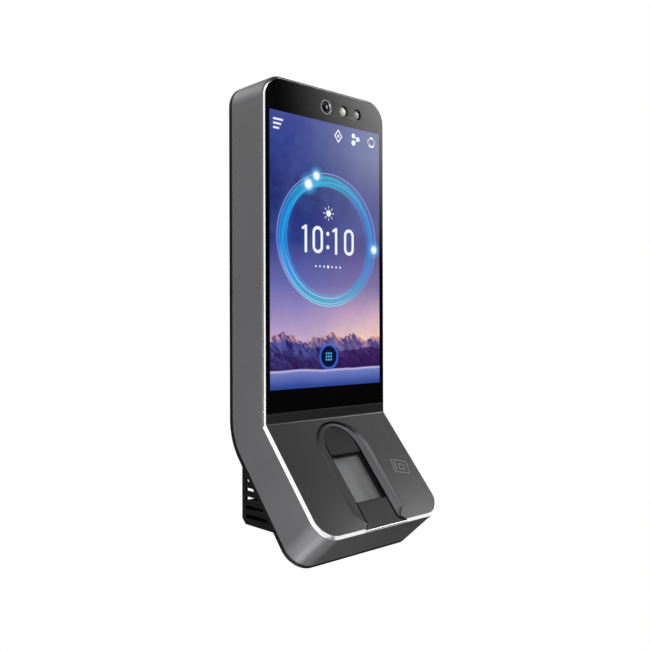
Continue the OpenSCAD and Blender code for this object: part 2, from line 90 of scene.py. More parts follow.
def on_run(x, depth, run):
    """A point on the folded slab. run is 0 where the fold starts and grows downwards."""
    if run <= 0:
        return on_front(x, depth, BEND_Z - run)
    if run >= BEND_RUN:
        return on_slope(x, depth, BEND_S + run - BEND_RUN)
    turn = run / BEND_R
    r = BEND_R + depth
    return Vector((x, -FRONT_Y - BEND_R + r * math.cos(turn), BEND_Z - r * math.sin(turn)))


def run_of_s(s):
    return s - BEND_S + BEND_RUN


# ---- meshes ----

def piece(name, verts, faces, body="terminal", smooth=30.0):
    """A mesh piece from points in millimetres that rides on a CAD body."""
    mesh = bpy.data.meshes.new(name)
    mesh.from_pydata([Vector(v) * MM for v in verts], [], faces)
    return finish_piece(name, mesh, body, smooth)


def finish_piece(name, mesh, body, smooth):
    bm = bmesh.new()
    bm.from_mesh(mesh)
    bmesh.ops.recalc_face_normals(bm, faces=bm.faces)
    bm.to_mesh(mesh)
    bm.free()
    mesh.shade_smooth()
    mesh.set_sharp_from_angle(angle=math.radians(smooth))
    obj = bpy.data.objects.new(name, mesh)
    bpy.context.scene.collection.objects.link(obj)
    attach(obj, body)
    return obj


def sweep(rings, closed_ring=True, closed_path=True, caps=False):
    """Vertices and faces that join rings with the same number of points."""
    n, m = len(rings), len(rings[0])
    verts = [p for ring in rings for p in ring]
    faces = []
    for i in range(n if closed_path else n - 1):
        k = (i + 1) % n
        for j in range(m if closed_ring else m - 1):
            q = (j + 1) % m
            faces.append((i * m + j, i * m + q, k * m + q, k * m + j))
    if caps:
        faces.append(tuple(range(m)))
        faces.append(tuple(range((n - 1) * m, n * m)))
    return verts, faces


def rim_stations():
    """Points round the outline, each with its inward and its depth direction."""
    half = []
    steps = 20
    for n in range(steps + 1):
        turn = math.radians(90) * (1 - n / steps)
        c, s = math.cos(turn), math.sin(turn)
        half.append((
            Vector((-HALF_W + CORNER_R * (1 - c), -FRONT_Y, TOP_Z - CORNER_R * (1 - s))),
            Vector((c, 0, -s)), Vector((0, 1, 0)),
        ))
    for z in (60, 30, 0, -30):
        half.append((Vector((-HALF_W, -FRONT_Y, z)), Vector((1, 0, 0)), Vector((0, 1, 0))))
    folds = 16
    for n in range(folds + 1):
        turn = SLOPE * n / folds
        c, s = math.cos(turn), math.sin(turn)
        half.append((
            Vector((-HALF_W, -FRONT_Y - BEND_R * (1 - c), BEND_Z - BEND_R * s)),
            Vector((1, 0, 0)), Vector((0, c, -s)),
        ))
    half.append((on_slope(-HALF_W, 0, 22), Vector((1, 0, 0)), half[-1][2]))
    for n in range(steps + 1):
        turn = math.radians(90) * n / steps
        c, s = math.cos(turn), math.sin(turn)
        half.append((
            on_slope(-HALF_W + CORNER_R * (1 - c), 0, SLOPE_LEN - CORNER_R * (1 - s)),
            Vector((c, s * math.sin(SLOPE), s * math.cos(SLOPE))),
            Vector((0, math.cos(SLOPE), -math.sin(SLOPE))),
        ))
    flip = [tuple(Vector((-v.x, v.y, v.z)) for v in st) for st in reversed(half)]
    return half + flip


def rim_ring(station, section, upper=None):
    """A section of (inward, depth) points at a station. upper takes over above the fold."""
    point, inward, deeper = station
    if upper:
        t = 1 - math.asin(-deeper.z) / SLOPE
        section = [(a + (c - a) * t, b + (d - b) * t) for (a, b), (c, d) in zip(section, upper)]
    return [point + a * inward + b * deeper for a, b in section]


def arc(cx, cy, r, start, end, steps):
    """Points on an arc, angles in degrees."""
    return [
        (cx + r * math.cos(math.radians(start + (end - start) * n / steps)),
         cy + r * math.sin(math.radians(start + (end - start) * n / steps)))
        for n in range(steps + 1)
    ]


def fill(outer, holes=()):
    """A flat bmesh at height 0 from an outline and its holes, facing up."""
    bm = bmesh.new()
    edges = []
    for loop in (outer, *holes):
        verts = [bm.verts.new((x, y, 0)) for x, y in loop]
        edges += [bm.edges.new((a, b)) for a, b in zip(verts, verts[1:] + verts[:1])]
    bmesh.ops.triangle_fill(bm, use_beauty=True, use_dissolve=False, edges=edges)
    bmesh.ops.recalc_face_normals(bm, faces=bm.faces)
    if sum(f.normal.z for f in bm.faces) < 0:
        bmesh.ops.reverse_faces(bm, faces=bm.faces)
    return bm


def plate(outline, holes, thick, bevel, cuts=()):
    """A flat plate from z = 0 down to -thick with softened front edges.

    cuts are heights across y where the plate gets a row of points to bend at."""
    bm = fill(outline, holes)
    bmesh.ops.dissolve_limit(bm, angle_limit=0.01, verts=bm.verts, edges=bm.edges)
    top = list(bm.faces)
    made = bmesh.ops.extrude_face_region(bm, geom=top)
    moved = [g for g in made["geom"] if isinstance(g, bmesh.types.BMVert)]
    bmesh.ops.translate(bm, verts=moved, vec=(0, 0, -thick))
    bmesh.ops.recalc_face_normals(bm, faces=bm.faces)
    rim = [
        e for e in bm.edges
        if all(abs(v.co.z) < 1e-6 for v in e.verts)
        and len(e.link_faces) == 2
        and abs(e.link_faces[0].normal.z - e.link_faces[1].normal.z) > 0.5
    ]
    if bevel:
        bmesh.ops.bevel(bm, geom=rim, offset=bevel, segments=3, profile=0.5, affect="EDGES",
                        clamp_overlap=True)
    for y in cuts:
        bmesh.ops.bisect_plane(bm, geom=list(bm.verts) + list(bm.edges) + list(bm.faces),
                               plane_co=(0, y, 0), plane_no=(0, 1, 0))
    bmesh.ops.triangulate(bm, faces=[f for f in bm.faces if len(f.verts) > 4])
    return bm


def place(bm, name, mapping, smooth=30.0):
    """Moves a flat bmesh's points with mapping, in millimetres, and makes it a piece."""
    for v in bm.verts:
        v.co = mapping(v.co) * MM
    mesh = bpy.data.meshes.new(name)
    bm.to_mesh(mesh)
    bm.free()
    return finish_piece(name, mesh, "terminal", smooth)


def welded(name, verts, faces, near, flat):
    """A mesh from points in millimetres with its doubled points and empty faces taken out."""
    mesh = bpy.data.meshes.new(name)
    mesh.from_pydata([v * MM for v in verts], [], faces)
    bm = bmesh.new()
    bm.from_mesh(mesh)
    bmesh.ops.remove_doubles(bm, verts=bm.verts, dist=near)
    bmesh.ops.dissolve_degenerate(bm, dist=flat, edges=bm.edges)
    bm.to_mesh(mesh)
    bm.free()
    return mesh


def lathe(name, profile, centre, smooth=30.0):
    """Turns (radius, depth) points round a centre on the front plane."""
    steps = 64
    rings = []
    for n in range(steps):
        a = 2 * math.pi * n / steps
        rings.append([
            on_front(centre[0] + r * math.cos(a), depth, centre[1] + r * math.sin(a))
            for r, depth in profile
        ])
    verts, faces = sweep(rings, closed_ring=False)
    return finish_piece(name, welded(name, verts, faces, 1e-7, 1e-8), "terminal", smooth)


# ---- materials: a small kit for node expressions ----

class Value:
    """A socket in a node tree that arithmetic can be written with."""

    def __init__(self, kit, socket):
        self.kit, self.socket = kit, socket

    def _op(self, op, *others):
        return self.kit.math(op, self, *others)

    def __add__(self, o): return self._op("ADD", o)
    def __radd__(self, o): return self._op("ADD", o)
    def __sub__(self, o): return self._op("SUBTRACT", o)
    def __rsub__(self, o): return self.kit.math("SUBTRACT", o, self)
    def __mul__(self, o): return self._op("MULTIPLY", o)
    def __rmul__(self, o): return self._op("MULTIPLY", o)
    def __truediv__(self, o): return self._op("DIVIDE", o)
    def __neg__(self): return self._op("MULTIPLY", -1.0)
    def __abs__(self): return self._op("ABSOLUTE")
    def min(self, o): return self._op("MINIMUM", o)
    def max(self, o): return self._op("MAXIMUM", o)
    def sqrt(self): return self._op("SQRT")
    def clamp(self): return self.max(0.0).min(1.0)


class Kit:
    """Builds one material round a Principled shader."""

    def __init__(self, name):
        self.material = bpy.data.materials.new(name)
        self.material.use_nodes = True
        self.tree = self.material.node_tree
        self.shader = self.tree.nodes["Principled BSDF"]
        self._coord = None

    def node(self, kind, **settings):
        n = self.tree.nodes.new(kind)
        for key, value in settings.items():
            setattr(n, key, value)
        return n

    def feed(self, socket, value):
        if isinstance(value, Value):
            self.tree.links.new(value.socket, socket)
        elif value is not None:
            socket.default_value = value

    def math(self, op, *values):
        n = self.node("ShaderNodeMath", operation=op)
        for socket, value in zip(n.inputs, values):
            self.feed(socket, value)
        return Value(self, n.outputs[0])

    def coord(self):
        """Object coordinates in millimetres, as a vector socket."""
        if self._coord is None:
            c = self.node("ShaderNodeTexCoord")
            scale = self.node("ShaderNodeVectorMath", operation="SCALE")
            self.tree.links.new(c.outputs["Object"], scale.inputs[0])
            scale.inputs["Scale"].default_value = 1 / MM
            self._coord = Value(self, scale.outputs[0])
        return self._coord

    def xyz(self):
        n = self.node("ShaderNodeSeparateXYZ")
        self.feed(n.inputs[0], self.coord())
        return [Value(self, o) for o in n.outputs]

    def join(self, x, y, z):
        n = self.node("ShaderNodeCombineXYZ")
        for socket, value in zip(n.inputs, (x, y, z)):
            self.feed(socket, value)
        return Value(self, n.outputs[0])

    def noise(self, scale, detail=2.0, rough=0.5, vector=None, distort=0.0):
        n = self.node("ShaderNodeTexNoise")
        self.feed(n.inputs["Vector"], vector or self.coord())
        n.inputs["Scale"].default_value = scale
        n.inputs["Detail"].default_value = detail
        n.inputs["Roughness"].default_value = rough
        n.inputs["Distortion"].default_value = distort
        return Value(self, n.outputs[0])

    def fit(self, value, low, high, to_low=0.0, to_high=1.0, smooth=False):
        n = self.node("ShaderNodeMapRange")
        if smooth:
            n.interpolation_type = "SMOOTHSTEP"
        for key, v in zip(("Value", "From Min", "From Max", "To Min", "To Max"),
                          (value, low, high, to_low, to_high)):
            self.feed(n.inputs[key], v)
        return Value(self, n.outputs[0])

    def mix(self, factor, a, b, mode="MIX"):
        """Mixes two colours. Plain colours are 3 linear numbers."""
        n = self.node("ShaderNodeMix", data_type="RGBA", blend_type=mode)
        self.feed(n.inputs[0], factor)
        for socket, value in ((n.inputs[6], a), (n.inputs[7], b)):
            self.feed(socket, value if isinstance(value, Value) else (*value, 1.0))
        return Value(self, n.outputs[2])

    def ramp(self, value, stops):
        n = self.node("ShaderNodeValToRGB")
        self.feed(n.inputs[0], value)
        while len(n.color_ramp.elements) < len(stops):
            n.color_ramp.elements.new(0.5)
        for element, (at, colour) in zip(n.color_ramp.elements, stops):
            element.position = at
            element.color = (*colour, 1.0)
        return Value(self, n.outputs[0])

    def bump(self, height, distance):
        n = self.node("ShaderNodeBump")
        n.inputs["Distance"].default_value = distance * MM
        n.inputs["Strength"].default_value = 1.0
        self.feed(n.inputs["Height"], height)
        self.feed(self.shader.inputs["Normal"], Value(self, n.outputs[0]))

    def edges(self, radius):
        """1 along convex and concave edges, 0 on flats."""
        gain = 4.0
        b = self.node("ShaderNodeBevel", samples=6)
        b.inputs["Radius"].default_value = radius * MM
        g = self.node("ShaderNodeNewGeometry")
        dot = self.node("ShaderNodeVectorMath", operation="DOT_PRODUCT")
        self.tree.links.new(b.outputs[0], dot.inputs[0])
        self.tree.links.new(g.outputs["Normal"], dot.inputs[1])
        return ((1.0 - Value(self, dot.outputs["Value"])) * gain).clamp()

    def set(self, **values):
        for key, value in values.items():
            self.feed(self.shader.inputs[key.replace("_", " ")], value)
        return self.material


def srgb(*levels):
    """Linear colour from display levels between 0 and 255."""
    out = []
    for level in levels:
        c = level / 255
        out.append(c / 12.92 if c <= 0.04045 else ((c + 0.055) / 1.055) ** 2.4)
    return tuple(out)


def shade(colour, k):
    return tuple(c * k for c in colour)


def finish(name, colour, metal=0.0, rough=0.5, spread=0.08, grain=6.0, bump=0.004,
           blotch=0.12, gloss=0.14, wear=0.0, wear_colour=None, brushed=None, coat=0.0,
           spec=0.5):
    """A moulded, painted or metal finish with grain, blotches, wear and uneven gloss."""
    k = Kit(name)
    coarse = k.noise(blotch, detail=3.0, rough=0.6)
    if brushed:
        x, y, z = k.xyz()
        stretch = k.join(*(v * s for v, s in zip((x, y, z), brushed)))
        fine = k.noise(1.0, detail=4.0, rough=0.65, vector=stretch)
    else:
        fine = k.noise(grain, detail=3.0, rough=0.6)
    base = k.mix(k.fit(coarse, 0.3, 0.7), shade(colour, 1 - spread), shade(colour, 1 + spread))
    base = k.mix(k.fit(fine, 0.35, 0.65, 0.0, 0.35), base,
                 shade(colour, 0.86 if metal < 0.5 else 0.9))
    roughness = k.fit(coarse * 0.6 + fine * 0.4, 0.3, 0.7, rough * (1 - gloss),
                      min(1.0, rough * (1 + gloss)))
    if wear:
        worn = (k.edges(0.35) * k.fit(k.noise(1.3, detail=3.0), 0.4, 0.62)).clamp() * wear
        base = k.mix(worn, base, wear_colour or shade(colour, 1.8))
        roughness = roughness - worn * 0.1
    k.bump(fine, bump)
    k.set(Base_Color=base, Roughness=roughness, Metallic=metal)
    k.shader.inputs["Specular IOR Level"].default_value = spec
    k.shader.inputs["Coat Weight"].default_value = coat
    k.shader.inputs["Coat Roughness"].default_value = 0.08
    return k.material


# ---- finishes ----

FINISH = {
    "bracket_steel": dict(colour=(0.5, 0.51, 0.52), metal=1.0, rough=0.36, brushed=(0.5, 6, 0.35),
                          bump=0.003, spread=0.05, wear=0.5, wear_colour=(0.75, 0.76, 0.78)),
    "dark_steel": dict(colour=(0.12, 0.12, 0.13), metal=1.0, rough=0.34, grain=9, wear=0.7,
                       wear_colour=(0.5, 0.5, 0.52)),
    "grey_metal": dict(colour=(0.115, 0.114, 0.118), metal=0.35, rough=0.46, grain=11, bump=0.0022,
                       blotch=0.03, spread=0.04, gloss=0.08, wear=0.35, wear_colour=(0.3, 0.3, 0.31)),
    "bright_trim": dict(colour=(0.9, 0.9, 0.91), metal=1.0, rough=0.2, grain=14, bump=0.0008,
                        spread=0.03),
    "panel_metal": dict(colour=(0.036, 0.0355, 0.037), metal=0.5, rough=0.28, grain=12, bump=0.0014,
                        blotch=0.02, spread=0.03, gloss=0.05, wear=0.3, wear_colour=(0.28, 0.28, 0.29)),
    "tape": dict(colour=(0.02, 0.02, 0.022), rough=0.8, grain=5, bump=0.02),
    "lcd_cell": dict(colour=(0.03, 0.035, 0.07), rough=0.15, grain=9, bump=0.0005),
    "white_plastic": dict(colour=(0.72, 0.72, 0.7), rough=0.5, grain=7),
    "magnesium": dict(colour=(0.42, 0.42, 0.44), metal=0.9, rough=0.48, grain=3.5, bump=0.015,
                      wear=0.4, wear_colour=(0.7, 0.7, 0.72)),
    "black_plastic": dict(colour=(0.0045, 0.0045, 0.005), rough=0.5, grain=4.5, bump=0.008,
                          wear=0.3, wear_colour=(0.018, 0.018, 0.02), spec=0.12),
    "board": dict(colour=(0.01, 0.09, 0.045), rough=0.34, grain=2.2, bump=0.006, coat=0.4,
                  spread=0.18),
    "copper": dict(colour=(0.85, 0.42, 0.2), metal=1.0, rough=0.3, grain=5),
    "tin_plate": dict(colour=(0.66, 0.67, 0.68), metal=1.0, rough=0.33, brushed=(0.6, 5, 5),
                      bump=0.002, wear=0.4, wear_colour=(0.85, 0.85, 0.86)),
    "ring_metal": dict(colour=(0.3, 0.3, 0.31), metal=0.8, rough=0.42, grain=10, bump=0.0008),
    "lamp": dict(colour=srgb(226, 224, 196), rough=0.3, grain=5, bump=0.01, spread=0.1, coat=0.5),
    "grey_lamp": dict(colour=srgb(140, 140, 134), rough=0.3, grain=5, bump=0.01, coat=0.5),
    "blue_plastic": dict(colour=(0.02, 0.09, 0.32), rough=0.42, grain=5),
    "green_plastic": dict(colour=(0.03, 0.3, 0.1), rough=0.42, grain=5),
    "screw_steel": dict(colour=(0.5, 0.5, 0.5), metal=1.0, rough=0.32, grain=9, wear=0.5,
                        wear_colour=(0.8, 0.8, 0.8)),
    "film": dict(colour=(0.5, 0.24, 0.05), rough=0.3, grain=3, bump=0.004, coat=0.5),
    "red_plastic": dict(colour=(0.55, 0.02, 0.02), rough=0.36, grain=6),
    "brass": dict(colour=(0.75, 0.52, 0.2), metal=1.0, rough=0.3, grain=6, wear=0.4,
                  wear_colour=(0.95, 0.75, 0.4)),
    "reader_glass": dict(colour=srgb(116, 117, 118), rough=0.16, grain=9, bump=0.0003,
                         spread=0.03),
    "lens_glass": dict(colour=(0.004, 0.004, 0.009), rough=0.06, grain=9, bump=0.0002),
    "cover_glass": dict(colour=(0.003, 0.003, 0.0035), rough=0.05, grain=9, bump=0.0002),
}
made = {}


def material(slot):
    if slot not in made:
        made[slot] = finish(slot, **FINISH[slot])
    return made[slot]


def dress(obj, mat, slot):
    obj.data.materials.clear()
    obj.data.materials.append(mat)
    return obj


def soften(obj, width):
    """Rounds a CAD node's sharp edges without touching its mesh."""
    weld = obj.modifiers.new("weld", "WELD")
    weld.merge_threshold = 1e-6
    bevel = obj.modifiers.new("edge", "BEVEL")
    bevel.width = width * MM
    bevel.segments = 2
    bevel.limit_method = "ANGLE"
    bevel.angle_limit = math.radians(40)
    bevel.harden_normals = False
    bevel.use_clamp_overlap = True


# ---- the display picture, all from formulas ----

SCREEN_X, SCREEN_Z = (-31.05, 31.05), (-31.7, 78.7)


def display_material():
    k = Kit("cover_glass_display")
    x, _, z = k.xyz()
    u = k.fit(x, SCREEN_X[0], SCREEN_X[1])
    v = k.fit(z, SCREEN_Z[0], SCREEN_Z[1])

    # evening sky, warmer and paler towards the right and the skyline
    left = k.ramp(v, [(0.16, srgb(196, 170, 205)), (0.26, srgb(158, 140, 192)),
                      (0.38, srgb(104, 104, 172)), (0.54, srgb(42, 58, 132)),
                      (0.74, srgb(32, 42, 108)), (0.90, srgb(50, 66, 140)),
                      (1.00, srgb(62, 74, 146))])
    right = k.ramp(v, [(0.16, srgb(255, 214, 184)), (0.26, srgb(214, 176, 192)),
                       (0.38, srgb(132, 116, 164)), (0.54, srgb(86, 84, 144)),
                       (0.74, srgb(80, 84, 142)), (0.90, srgb(96, 104, 150)),
                       (1.00, srgb(86, 92, 140))])
    flat = k.join(x, 0.0, z)
    haze = k.noise(0.035, detail=3.0, rough=0.55, vector=flat)
    across = (k.fit(u, 0.15, 1.0, smooth=True) + (haze - 0.5) * 0.5).clamp()
    sky = k.mix(across, left, right)
    cloud = k.fit(k.noise(0.075, detail=5.0, rough=0.6, vector=flat), 0.45, 0.8, 0.0, 0.35)
    sky = k.mix(cloud, sky, srgb(92, 116, 190))

    # two ridges of a made-up mountain range, their heights from noise along x
    def ridge(base, height, scale, seed):
        line = k.noise(scale, detail=6.0, rough=0.62, vector=k.join(x + seed, seed, 0.0))
        return k.fit(line, 0.25, 0.75, base, base + height)

    def slope_light(scale, seed):
        stretch = k.join(x * 1.5 + z, seed, z * 0.9)
        return k.noise(scale, detail=6.0, rough=0.72, vector=stretch, distort=0.8)

    far = ridge(-14.5, 8.0, 0.085, 41.0)
    near = ridge(-16.5, 6.0, 0.05, 7.0) - k.fit(x, -30.0, 20.0, 0.0, 3.0)
    light = slope_light(0.22, 3.0)
    tip = k.fit(z - far, -3.2, 0.0) * k.fit(light, 0.46, 0.6)
    far_rock = k.mix(k.fit(light, 0.42, 0.62), srgb(72, 62, 122), srgb(128, 112, 162))
    far_rock = k.mix(tip.clamp(), far_rock, srgb(246, 176, 150))
    left_rock = k.mix(k.fit(light, 0.42, 0.6), srgb(38, 32, 94), srgb(92, 96, 172))
    right_rock = k.mix(k.fit(light, 0.4, 0.66), srgb(42, 20, 72), srgb(84, 62, 132))
    near_rock = k.mix(k.fit(x, -12.0, 14.0, smooth=True), left_rock, right_rock)
    near_rock = k.mix(k.fit(z, -23.5, -14.0, 0.85, 0.0), near_rock, srgb(44, 18, 76))
    scene = k.mix(k.fit(z - far, 0.15, -0.15), sky, far_rock)
    scene = k.mix(k.fit(z - near, 0.2, -0.2), scene, near_rock)
    shore = k.noise(0.05, detail=2.0, vector=k.join(x, 9.0, 0.0)) * 2.4 - 25.6
    snow = k.mix(k.fit(z - shore, -6.5, 0.0), srgb(48, 72, 152), srgb(120, 132, 200))
    snow = k.mix(k.fit(abs(z - shore + 0.35), 0.8, 0.0), snow, srgb(196, 184, 226))
    scene = k.mix(k.fit(z - shore, 0.25, -0.25), scene, snow)

    # a ring of light made of thin circles whose centres differ a little
    cx, cz = 0.5, 29.1
    glow = scene
    strands = [  # offset x, offset z, radius, width, strength
        (0.0, 0.1, 25.3, 2.5, 0.5), (0.9, -1.4, 25.6, 0.6, 0.95), (-0.8, 0.3, 26.0, 0.7, 0.9),
        (-0.5, -1.6, 24.9, 0.6, 0.85), (0.6, 0.6, 23.7, 0.5, 0.8), (-1.0, -0.8, 23.6, 0.6, 0.85),
        (1.3, -0.2, 24.6, 0.5, 0.8), (0.3, -1.6, 25.9, 0.4, 0.85),
    ]
    for dx, dz, radius, width, strength in strands:
        r = ((x - cx - dx) * (x - cx - dx) + (z - cz - dz) * (z - cz - dz)).sqrt()
        band = (1.0 - abs(r - radius) / width).clamp()
        part = band * strength * k.fit(x - z * 0.15, 30.0, -14.0, 0.35, 1.0)
        tone = k.mix(k.fit(abs(z - cz), 12.0, 25.0), srgb(0, 156, 238), srgb(46, 190, 208))
        glow = k.mix(part, glow, tone)
    r0 = ((x - cx) * (x - cx) + (z - cz) * (z - cz)).sqrt()
    halo = (1.0 - abs(r0 - 25.2) / 5.0).clamp()
    glow = k.mix(halo * halo * 0.28, glow, srgb(70, 150, 230))
    low = k.fit(z - cz + (x - cx) * 0.45, -14.0, -24.0)
    for radius, width in ((24.1, 0.35), (26.4, 0.3), (27.4, 0.28)):
        line = (1.0 - abs(r0 - radius) / width).clamp() * low.clamp()
        glow = k.mix(line * 0.8, glow, srgb(206, 214, 246))
    outer = (1.0 - abs(r0 - 28.0) / 0.34).clamp() * k.fit(z, 6.0, 28.0)
    glow = k.mix(outer * 0.75, glow, srgb(178, 178, 246))
    for px, pz, size in ((-6.4, 55.5, 2.6), (-10.8, 51.6, 3.0), (27.6, 27.0, 2.5)):
        d = ((x - px) * (x - px) + (z - pz) * (z - pz)).sqrt()
        glow = k.mix(k.fit(d, size * 1.9, size * 0.3, 0.0, 0.65, smooth=True), glow,
                     srgb(90, 190, 255))
        glow = k.mix(k.fit(d, size, size * 0.25, smooth=True), glow, (1.0, 1.0, 1.0))

    # drawing helpers: each gives 1 on the mark and 0 off it
    def on(distance, soft=0.16):
        return k.fit(distance, soft, -soft)

    def disc(px, pz, r):
        return ((x - px) * (x - px) + (z - pz) * (z - pz)).sqrt() - r

    def bar(px, pz, half_x, half_z):
        dx, dz = abs(x - px) - half_x, abs(z - pz) - half_z
        return dx.max(dz)

    def pill(px, pz, half_x, half_z, r):
        dx, dz = (abs(x - px) - half_x + r).max(0.0), (abs(z - pz) - half_z + r).max(0.0)
        return (dx * dx + dz * dz).sqrt() - r

    def line(ax, az, bx, bz, r):
        ex, ez = bx - ax, bz - az
        t = ((x - ax) * ex + (z - az) * ez) / (ex * ex + ez * ez)
        t = t.clamp()
        dx, dz = x - ax - t * ex, z - az - t * ez
        return (dx * dx + dz * dz).sqrt() - r

    marks = []
    for px in (-12.3, 4.65):  # the ones of the clock
        marks += [bar(px, 29.2, 0.65, 5.6), line(px - 1.7, 33.4, px - 0.1, 34.3, 0.5)]
    for px in (-5.75, 12.2):  # the noughts
        marks.append(abs(pill(px, 29.2, 2.25, 4.95, 2.2)) - 0.65)
    marks += [disc(-0.1, 32.0, 0.85), disc(-0.1, 26.4, 0.85)]
    for n, half in enumerate((2.5, 2.0, 1.5)):  # menu
        marks.append(bar(-29.2 + half, 75.3 - n * 1.75, half, 0.38))
    diamond = abs(x - 6.1) * 1.25 + abs(z - 73.9)
    marks += [abs(diamond - 2.5) - 0.42, disc(6.1, 73.9, 0.62)]
    marks += [disc(15.1, 75.4, 1.05), disc(15.1, 72.4, 1.15), disc(17.8, 74.3, 1.0),
              line(15.1, 75.4, 17.8, 74.3, 0.2), line(15.1, 72.4, 17.8, 74.3, 0.2)]
    loop = abs(disc(26.2, 74.3, 1.9)) - 0.38
    gap = abs(abs(x - 26.2) + (z - 74.3) * 0.2 - 1.7) - 0.32
    marks.append(loop.max(-gap))
    for n in range(7):  # a row of weekday dots in place of the date
        marks.append(disc(-6.9 + 2.3 * n, 18.2, 0.62 if n == 3 else 0.42))
    marks += [disc(0.4, 40.6, 1.35)]  # a small sun above the clock
    for n in range(8):
        a = math.radians(45 * n)
        marks.append(line(0.4 + 2.1 * math.cos(a), 40.6 + 2.1 * math.sin(a),
                          0.4 + 2.9 * math.cos(a), 40.6 + 2.9 * math.sin(a), 0.16))
    best = marks[0]
    for m in marks[1:]:
        best = best.min(m)
    picture = k.mix(on(best), glow, srgb(244, 248, 255))

    # the round on-screen key with a plain grid of dots
    key = disc(0.3, -19.3, 4.45)
    picture = k.mix(on(key - 0.9, 0.5), picture, srgb(52, 104, 214))
    picture = k.mix(on(key), picture, srgb(12, 16, 44))
    dots = None
    for px in (-1.0, 0.3, 1.6):
        for pz in (-18.0, -19.3, -20.6):
            d = disc(px, pz, 0.4)
            dots = d if dots is None else dots.min(d)
    picture = k.mix(on(dots), picture, srgb(86, 190, 250))

    # the printed black border round the picture, then dust and smears on the glass
    window = on(bar(0.0, (SCREEN_Z[0] + SCREEN_Z[1]) / 2, 31.05, 55.2), 0.12)
    lit = k.mix(window, (0.0, 0.0, 0.0), picture)
    dust = k.noise(0.9, detail=3.0, rough=0.6)
    base = k.mix(k.fit(dust, 0.3, 0.7), (0.0018, 0.0018, 0.002), (0.003, 0.003, 0.0034))
    smear = k.noise(0.05, detail=4.0, rough=0.6)
    k.set(Base_Color=base, Roughness=k.fit(smear, 0.3, 0.7, 0.035, 0.075))
    k.feed(k.shader.inputs["Emission Color"], lit)
    k.shader.inputs["Emission Strength"].default_value = 1.0
    k.bump(dust, 0.0002)
    return k.material


# ---- shells ----

def add_normals(obj):
    obj.modifiers.new("normals", "WEIGHTED_NORMAL").keep_sharp = True
    return obj


def guide_edge(s):
    """Half width of the finger guide's outer edge at a distance below the fold."""
    if s >= WAIST_S:
        return WAIST_HALF + (s - WAIST_S) / (PANE_END_S - WAIST_S) * GUIDE_FLARE
    if s >= TAPER_S:
        return WAIST_HALF + (WAIST_S - s) / (WAIST_S - TAPER_S) * (GUIDE_HALF - WAIST_HALF)
    return GUIDE_HALF


def channel_edge(s):
    """Half width of the channel's floor, which opens out below the waist."""
    return CHANNEL_HALF + max(0.0, s - WAIST_S) / (PANE_END_S - WAIST_S) * CHANNEL_FLARE


def build_housing():
    section = [(0.5, 1.12), (0.06, 1.12), (0.002, 1.2), (0.002, COVER_DEPTH - 0.16),
               (0.05, COVER_DEPTH - 0.04), (0.16, COVER_DEPTH), (1.8, COVER_DEPTH), (1.8, 3.4),
               (2.4, 3.4), (2.4, 1.4), (1.15, 1.4), (1.15, 2.05), (0.5, 2.05)]
    upper = [(0.52, 1.12), (0.5, 0.62), (0.002, 1.13)] + section[3:]
    rings = [rim_ring(st, section, upper) for st in rim_stations()]
    obj = add_normals(piece("housing_shell", *sweep(rings), smooth=38))
    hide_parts("main_housing")
    return dress(obj, material("grey_metal"), "grey_metal")


def build_trim():
    notch, cut = 11.7, 0.66
    section = [(1.1, 2.0), (1.1, 0.09), (1.08, 0.03), (1.04, 0.06), (0.4, cut), (0.07, 0.99),
               (0.02, 1.04), (0.02, 1.1), (0.55, 1.1), (0.55, 2.0)]
    low = [(0.72, 2.0), (0.72, cut + 0.06), (0.69, cut + 0.01), (0.6, cut - 0.02),
           (0.42, cut + 0.03)] + section[5:]
    upper = section[:4] + [(0.59, 0.52), (0.56, 0.57), (0.55, 0.7), (0.55, 0.9), (0.55, 1.1),
                           (0.55, 2.0)]
    stations = rim_stations()
    middle = len(stations) // 2
    end = stations[middle - 1]
    rings = [rim_ring(st, section, upper) for st in stations[:middle]]
    for x, shape in ((-notch, section), (-notch, low), (notch, low), (notch, section)):
        rings.append(rim_ring((Vector((x, end[0].y, end[0].z)), end[1], end[2]), shape))
    rings += [rim_ring(st, section, upper) for st in stations[middle:]]
    verts, faces = sweep(rings)
    obj = add_normals(piece("edge_trim", verts, faces, smooth=40))
    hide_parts("front_trim")
    return dress(obj, material("bright_trim"), "bright_trim")


def build_glass():
    half, top, r, foot = HALF_W - PANE_INSET, TOP_Z - PANE_INSET, CORNER_R - PANE_INSET, 0.5
    outline = (arc(half - r, top - r, r, 0, 90, 20) + arc(-half + r, top - r, r, 90, 180, 20)
               + arc(-half + foot, GLASS_Z + foot, foot, 180, 270, 5)
               + arc(half - foot, GLASS_Z + foot, foot, 270, 360, 5))
    holes = [arc(*CAMERA, 3.2, 0, 360, 64)[:-1]]
    holes += [arc(x, CAMERA[1], LAMP_R, 0, 360, 48)[:-1] for x in LAMP_X]
    bm = plate(outline, holes, 1.1, 0.2)
    obj = place(bm, "cover_glass", lambda p: on_front(p.x, 0.1 - p.z, p.y), smooth=35)
    add_normals(obj)
    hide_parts("front_glass")
    return dress(obj, display_material(), "cover_glass")


